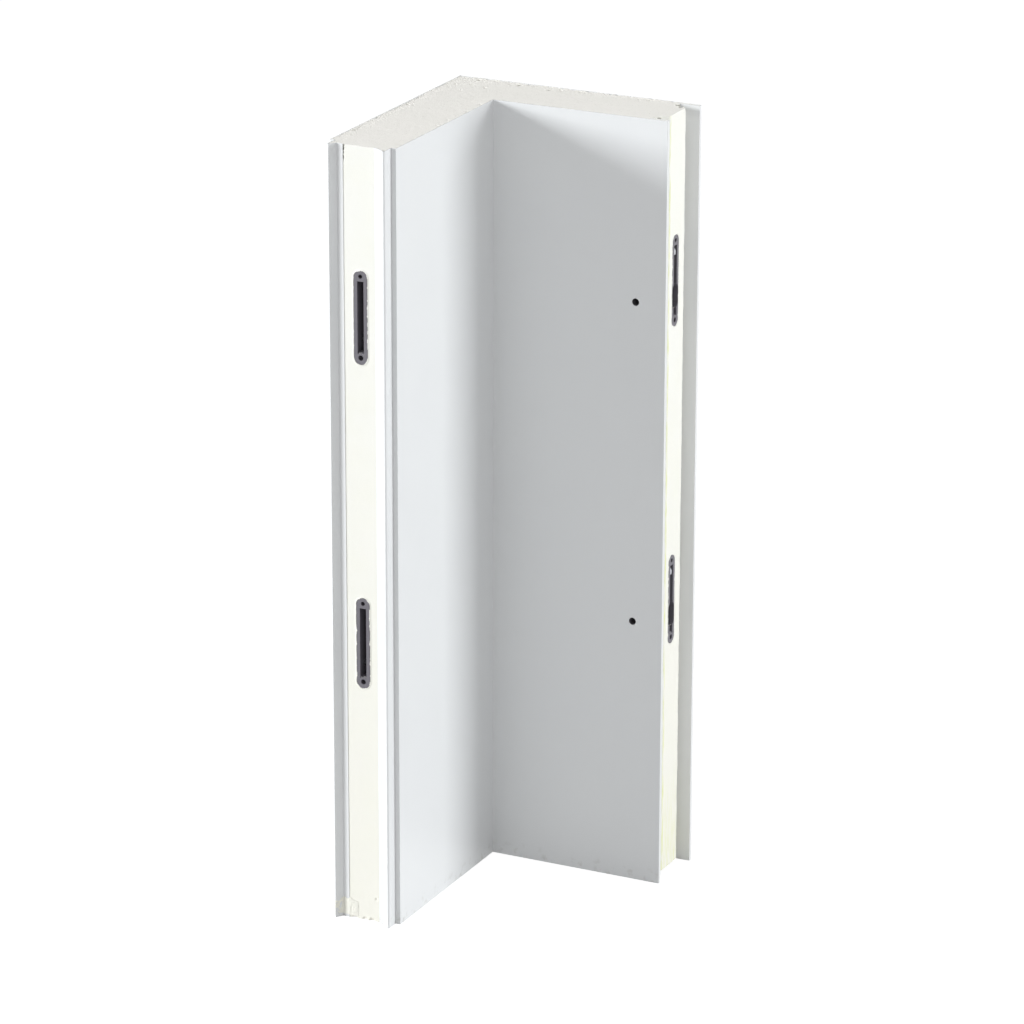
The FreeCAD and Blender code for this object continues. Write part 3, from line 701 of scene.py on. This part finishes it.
def add_softbox(name, place, target, width, height, watts):
    """A rectangular daylight lamp at a place, turned to face a target."""
    data = bpy.data.lights.new(name, "AREA")
    data.color = linear("#FAFDFF")[:3]
    data.shape, data.size, data.size_y, data.energy = "RECTANGLE", width, height, watts
    lamp = bpy.data.objects.new(name, data)
    lamp.location = place
    lamp.rotation_mode = "QUATERNION"
    lamp.rotation_quaternion = (Vector(target) - Vector(place)).to_track_quat("-Z", "Y")
    scene.collection.objects.link(lamp)


def seen_directly(tree):
    """1 for rays that show the backdrop itself: from the camera, in a mirror or through glass."""
    camera, mirror, glass = (add_node(tree, "ShaderNodeLightPath", output=f"Is {ray} Ray")
                             for ray in ("Camera", "Glossy", "Transmission"))
    shown = add_node(tree, "ShaderNodeMath", {"operation": "MAXIMUM"}, [camera, mirror])
    return add_node(tree, "ShaderNodeMath", {"operation": "MAXIMUM"}, [shown, glass])


def add_world(strength):
    """White where it is seen, a dimmer white for lighting."""
    world = bpy.data.worlds.new("studio")
    world.use_nodes = True
    tree = world.node_tree
    tree.nodes.clear()
    lighting, shown = (add_node(tree, "ShaderNodeBackground", inputs=["#FFFFFF", power])
                       for power in (strength, 1.0))
    mix = add_node(tree, "ShaderNodeMixShader", inputs=[seen_directly(tree), lighting, shown])
    add_node(tree, "ShaderNodeOutputWorld", inputs={"Surface": mix})
    scene.world = world


def studio_paper():
    """Pale background paper: seen directly it is white with the object's shadow on it."""
    material, tree, shader = new_material("studio_paper", Base_Color=(0.82, 0.82, 0.82, 1), Roughness=0.9)
    dim = add_node(tree, "ShaderNodeBsdfDiffuse", inputs={"Color": (0.3, 0.3, 0.3, 1)})
    glow = add_node(tree, "ShaderNodeEmission", inputs={"Color": "#FFFFFF", "Strength": 0.86})
    white = add_node(tree, "ShaderNodeAddShader", inputs=[dim, glow])
    mix = add_node(tree, "ShaderNodeMixShader", inputs=[seen_directly(tree), shader.outputs[0], white])
    tree.links.new(mix, tree.nodes["Material Output"].inputs["Surface"])
    return material


def add_floor(radius, corners=96):
    turns = [2 * pi * i / corners for i in range(corners)]
    rim = [(radius * cos(turn), radius * sin(turn), 0) for turn in turns]
    add_mesh("floor", rim, [list(range(corners))], studio_paper())


scene.view_settings.view_transform = "Standard"
add_camera()
add_softbox("left_front", (-8.4, -6.6, 3.2), (0, 0, 0.7), 3.0, 2.4, 997)
add_softbox("right", (9.2, 3.4, 2.0), (0, 0, 0.6), 3.6, 4.2, 588)
add_softbox("above", (0.3, -0.3, 3.2), (0, 0, 1.0), 1.4, 1.4, 20)
add_world(0.385)
add_floor(9.0)
